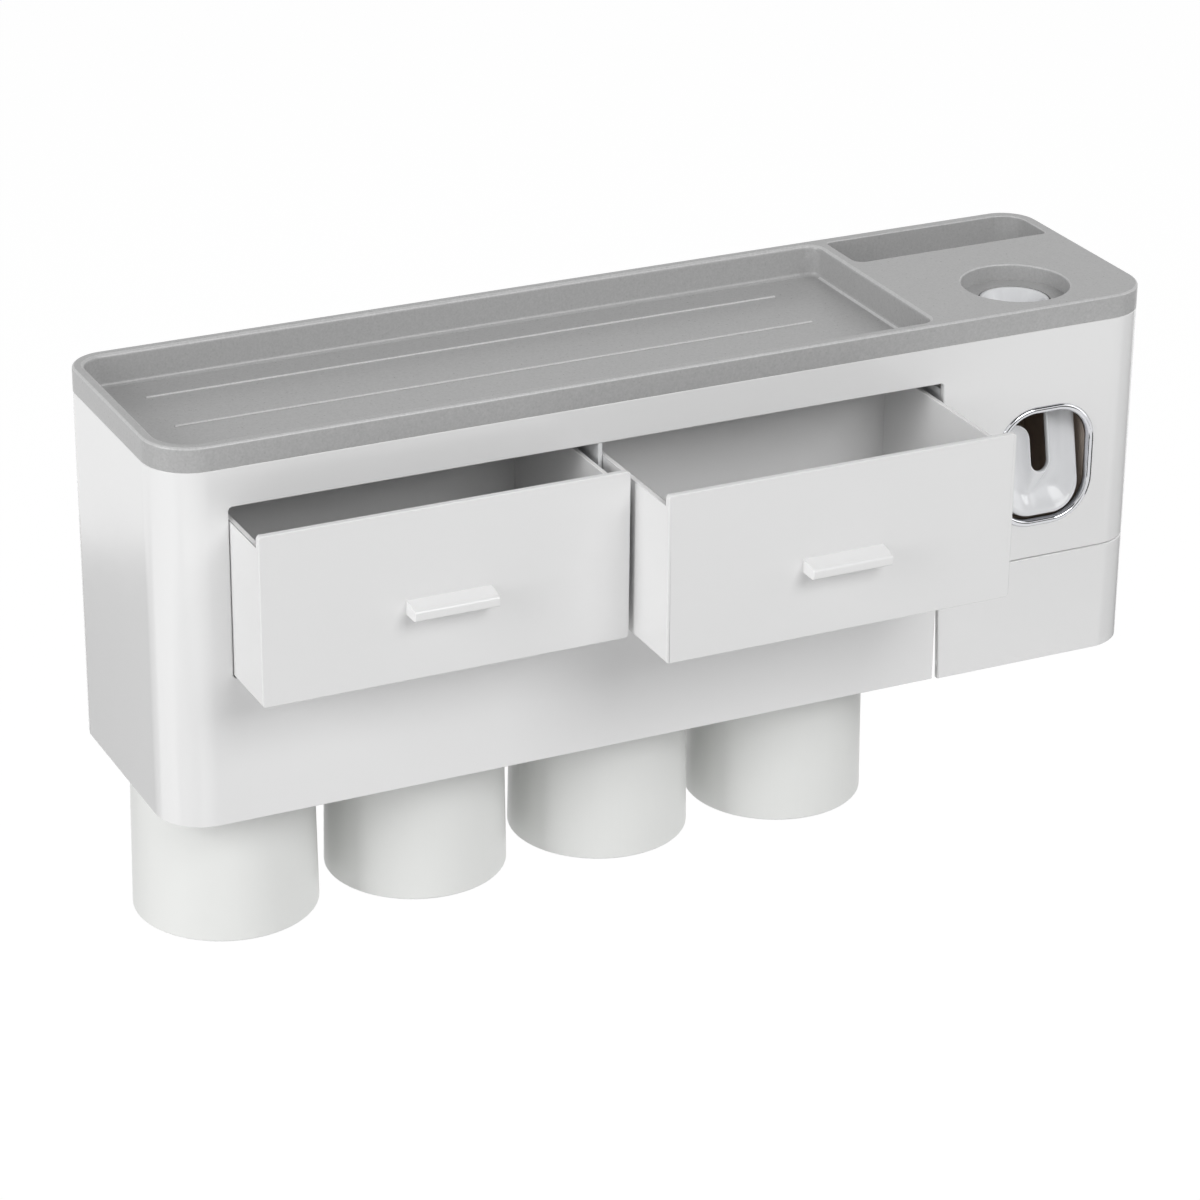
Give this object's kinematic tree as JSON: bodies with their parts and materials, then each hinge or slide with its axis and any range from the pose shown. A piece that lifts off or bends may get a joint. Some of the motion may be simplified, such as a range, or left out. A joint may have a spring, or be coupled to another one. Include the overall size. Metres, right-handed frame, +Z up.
{
  "type": "wall toothpaste dispenser organiser",
  "caption": "Wall-hung bathroom organiser with a push-lever toothpaste squeezer, pull-out drawers, a top tray and cups that hang mouth down.",
  "frame": {"origin": "centre of the four wall screw holes, on the wall plane", "axes": "+X along the wall towards the squeezer, -Y out of the wall, +Z up"},
  "size_m": [0.4, 0.163, 0.2044],
  "materials": {
    "shell_white": "gloss",
    "inner_white": "satin",
    "tray_grey": "fine matte",
    "drawer_white": "satin gloss",
    "cup_white": "satin",
    "lever_white": "gloss",
    "dark_plastic": "matte",
    "bright_ring": "polished",
    "silicone": "satin",
    "steel": "plain",
    "pad_foam": "matte"
  },
  "bodies": {
    "wall_hangers": {"hanger_left": "inner_white", "hanger_right": "inner_white", "adhesive_pads": "pad_foam"},
    "housing": {"front_shell": "shell_white", "back_panel": "inner_white", "top_tray": "tray_grey", "drawer_frame": "inner_white", "cup_panel": "inner_white", "holder_magnets": "steel", "trim_ring": "bright_ring", "pump_frame": "dark_plastic", "pump_body": "inner_white", "inlet_funnel": "shell_white", "inlet_valve": "silicone", "pump_bellows": "silicone", "bellows_ring": "inner_white", "nozzle": "silicone", "lever_pins": "steel", "back_screws": "steel", "cup_panel_screws": "steel", "pump_screws": "steel"},
    "drawer_1": {"drawer_left": "drawer_white", "handle_left": "shell_white"},
    "drawer_2": {"drawer_right": "drawer_white", "handle_right": "shell_white"},
    "hung_cup_1": {"cup_1": "cup_white", "cup_magnet_1": "steel"},
    "hung_cup_2": {"cup_2": "cup_white", "cup_magnet_2": "steel"},
    "hung_cup_3": {"cup_3": "cup_white", "cup_magnet_3": "steel"},
    "hung_cup_4": {"cup_4": "cup_white", "cup_magnet_4": "steel"},
    "cover": {"lower_cover": "shell_white"},
    "lever": {"push_lever": "lever_white"}
  },
  "joints": [
    {"name": "unit_lift", "type": "slide", "parent": "wall_hangers", "child": "housing", "axis": [0, 0, 1], "range_m": [0, 0.009]},
    {"name": "drawer_left_slide", "type": "slide", "parent": "housing", "child": "drawer_1", "axis": [0, -1, 0], "range_m": [-0.0272, 0.0408]},
    {"name": "drawer_right_slide", "type": "slide", "parent": "housing", "child": "drawer_2", "axis": [0, -1, 0], "range_m": [-0.053, 0.0149]},
    {"name": "cup_1_lift", "type": "slide", "parent": "housing", "child": "hung_cup_1", "axis": [0, 0, -1], "range_m": [0, 0.045]},
    {"name": "cup_2_lift", "type": "slide", "parent": "housing", "child": "hung_cup_2", "axis": [0, 0, -1], "range_m": [0, 0.045]},
    {"name": "cup_3_lift", "type": "slide", "parent": "housing", "child": "hung_cup_3", "axis": [0, 0, -1], "range_m": [0, 0.045]},
    {"name": "cup_4_lift", "type": "slide", "parent": "housing", "child": "hung_cup_4", "axis": [0, 0, -1], "range_m": [0, 0.045]},
    {"name": "cover_slide", "type": "slide", "parent": "housing", "child": "cover", "axis": [0, 0, -1], "range_m": [0, 0.052]},
    {"name": "lever_push", "type": "hinge", "parent": "housing", "child": "lever", "pos_m": [0.1545, -0.084, 0.0104], "axis": [1, 0, 0], "range_deg": [0, 22], "stiffness_Nm_per_rad": 0.06, "springref_deg": -4.58, "deforming": ["pump_bellows"]}
  ]
}
